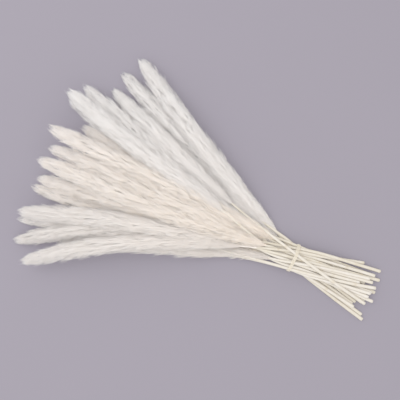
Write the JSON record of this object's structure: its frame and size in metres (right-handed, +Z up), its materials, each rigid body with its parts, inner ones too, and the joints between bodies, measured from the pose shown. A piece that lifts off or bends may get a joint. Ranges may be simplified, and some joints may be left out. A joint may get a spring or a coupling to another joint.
{
  "type": "bundle of dried common reed",
  "caption": "Fan of feathery bleached reed plumes on slender stems, gathered by a thin cord a little way above their splayed cut ends, lying on a surface.",
  "frame": {"origin": "centre of the bounding box's base, on the surface that the bundle lies on", "axes": "+X along the bundle from the plumes to the cut ends, +Y across the fan, +Z up"},
  "size_m": [0.5896, 0.3782, 0.0578],
  "materials": {
    "stem": "bleached, dry and matt to satin, with fine lengthwise ribs",
    "plume": "bleached creamy white, silky, soft and matt",
    "cord": "undyed cotton, matt, twisted"
  },
  "bodies": {
    "root": {"stem_01": "stem", "stem_02": "stem", "stem_03": "stem", "stem_04": "stem", "stem_05": "stem", "stem_06": "stem", "stem_07": "stem", "stem_08": "stem", "stem_09": "stem", "stem_10": "stem", "stem_11": "stem", "stem_12": "stem", "stem_13": "stem", "stem_14": "stem", "stem_15": "stem", "stem_16": "stem", "stem_17": "stem", "stem_18": "stem", "stem_19": "stem", "stem_20": "stem", "stem_21": "stem", "stem_22": "stem", "stem_23": "stem", "stem_24": "stem", "stem_25": "stem", "stem_26": "stem", "plume_01": "plume", "plume_02": "plume", "plume_03": "plume", "plume_04": "plume", "plume_05": "plume", "plume_06": "plume", "plume_07": "plume", "plume_08": "plume", "plume_09": "plume", "plume_10": "plume", "plume_11": "plume", "plume_12": "plume", "plume_13": "plume", "plume_14": "plume", "plume_15": "plume", "plume_16": "plume", "plume_17": "plume", "plume_18": "plume", "plume_19": "plume", "plume_20": "plume", "plume_21": "plume", "plume_22": "plume", "plume_23": "plume", "plume_24": "plume", "plume_25": "plume", "plume_26": "plume", "tie_cord": "cord"}
  },
  "joints": []
}
